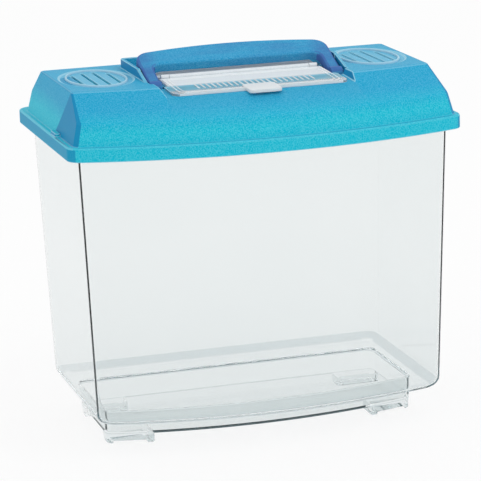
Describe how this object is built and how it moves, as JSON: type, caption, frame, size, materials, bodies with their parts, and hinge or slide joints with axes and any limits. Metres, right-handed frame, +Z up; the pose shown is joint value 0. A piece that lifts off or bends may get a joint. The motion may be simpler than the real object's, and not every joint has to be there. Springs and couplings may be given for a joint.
{
  "type": "plastic pet keeper",
  "caption": "Clear bow-fronted tank for small pets, with a lift-off domed lid, oval vents, a bail handle that folds into a well and a hinged clear feeding hatch.",
  "frame": {"origin": "middle of the overall box, on the plane that the feet stand on", "axes": "+Z up, -Y the bowed front, +X to the right seen from the front"},
  "size_m": [0.3, 0.208, 0.2882],
  "materials": {
    "clear_tank": "clear polystyrene, glossy",
    "blue_lid": "translucent blue, fine grain, satin",
    "blue_handle": "translucent blue, fine grain, satin",
    "clear_pane": "clear polystyrene, glossy"
  },
  "bodies": {
    "tank": {"tank": "clear_tank"},
    "lid": {"lid": "blue_lid", "window_panel": "clear_pane"},
    "handle": {"handle": "blue_handle"},
    "hatch": {"hatch": "clear_pane"}
  },
  "joints": [
    {"name": "lid_lift", "type": "slide", "parent": "tank", "child": "lid", "axis": [0, 0, 1], "range_m": [0, 0.06]},
    {"name": "handle_swing", "type": "hinge", "parent": "lid", "child": "handle", "pos_m": [0, -0.02, 0.2647], "axis": [1, 0, 0], "range_deg": [0, 105]},
    {"name": "hatch_swing", "type": "hinge", "parent": "lid", "child": "hatch", "pos_m": [0, -0.00212, 0.26976], "axis": [-1, 0, 0], "range_deg": [0, 90]}
  ]
}
